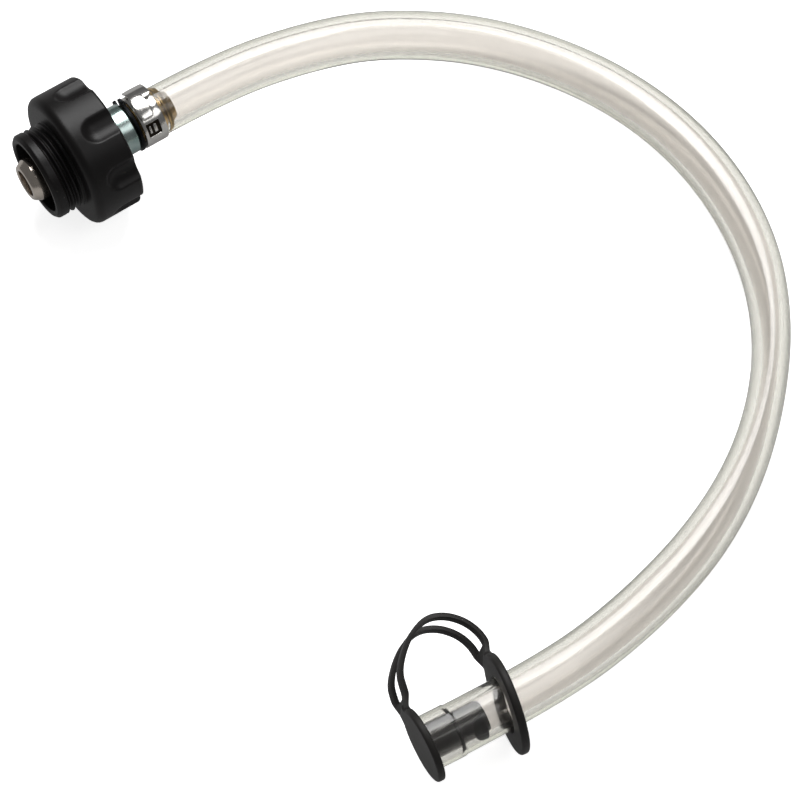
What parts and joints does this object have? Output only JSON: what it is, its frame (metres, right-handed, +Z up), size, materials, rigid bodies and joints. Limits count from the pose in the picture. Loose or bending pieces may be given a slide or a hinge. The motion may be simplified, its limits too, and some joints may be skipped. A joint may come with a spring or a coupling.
{
  "type": "oil transfer hose",
  "caption": "Clear transfer hose with a captive threaded hand knob round a hollow nipple on one end, and a tethered rubber plug in the other.",
  "frame": {"origin": "under the middle of the rigid fitting, on the surface that the knob's rim rests on", "axes": "+X along the fitting from the nipple towards the hose, +Z up, +Y to the side that the hose bends away from"},
  "size_m": [0.2254, 0.2956, 0.05],
  "materials": {
    "knob_plastic": "black moulded plastic, satin",
    "nickel": "bright nickel plate",
    "seal_rubber": "black nitrile",
    "slip_washer": "natural acetal",
    "brass_tail": "turned brass",
    "zinc_collar": "zinc plate, blue passivated",
    "black_spring_steel": "black phosphated",
    "clamp_steel": "bright stainless",
    "clear_hose": "clear flexible PVC",
    "black_rubber": "moulded black rubber"
  },
  "bodies": {
    "hose_assembly": {"nipple": "nickel", "nipple_o_ring": "seal_rubber", "joint_o_ring": "seal_rubber", "stem_o_ring": "seal_rubber", "front_slip_washer": "slip_washer", "rear_slip_washer": "slip_washer", "hose_tail": "brass_tail", "collar": "zinc_collar", "retaining_clip": "black_spring_steel", "hose_clamp": "clamp_steel", "hose": "clear_hose"},
    "hand_knob": {"hand_knob": "knob_plastic"},
    "retainer": {"retaining_ring": "black_rubber", "plug_strap": "black_rubber"},
    "plug": {"end_plug": "black_rubber"}
  },
  "joints": [
    {"name": "knob_spin", "type": "hinge", "parent": "hose_assembly", "child": "hand_knob", "pos_m": [0, 0, 0.025], "axis": [1, 0, 0], "continuous": true},
    {"name": "plug_turn", "type": "hinge", "parent": "hose_assembly", "child": "retainer", "pos_m": [-0.032, -0.2504, 0.0171], "axis": [0.9931, -0.1175, 0], "continuous": true},
    {"name": "plug_pull", "type": "slide", "parent": "retainer", "child": "plug", "axis": [-0.9931, 0.1175, 0], "range_m": [0, 0.022], "deforming": ["plug_strap"]}
  ]
}
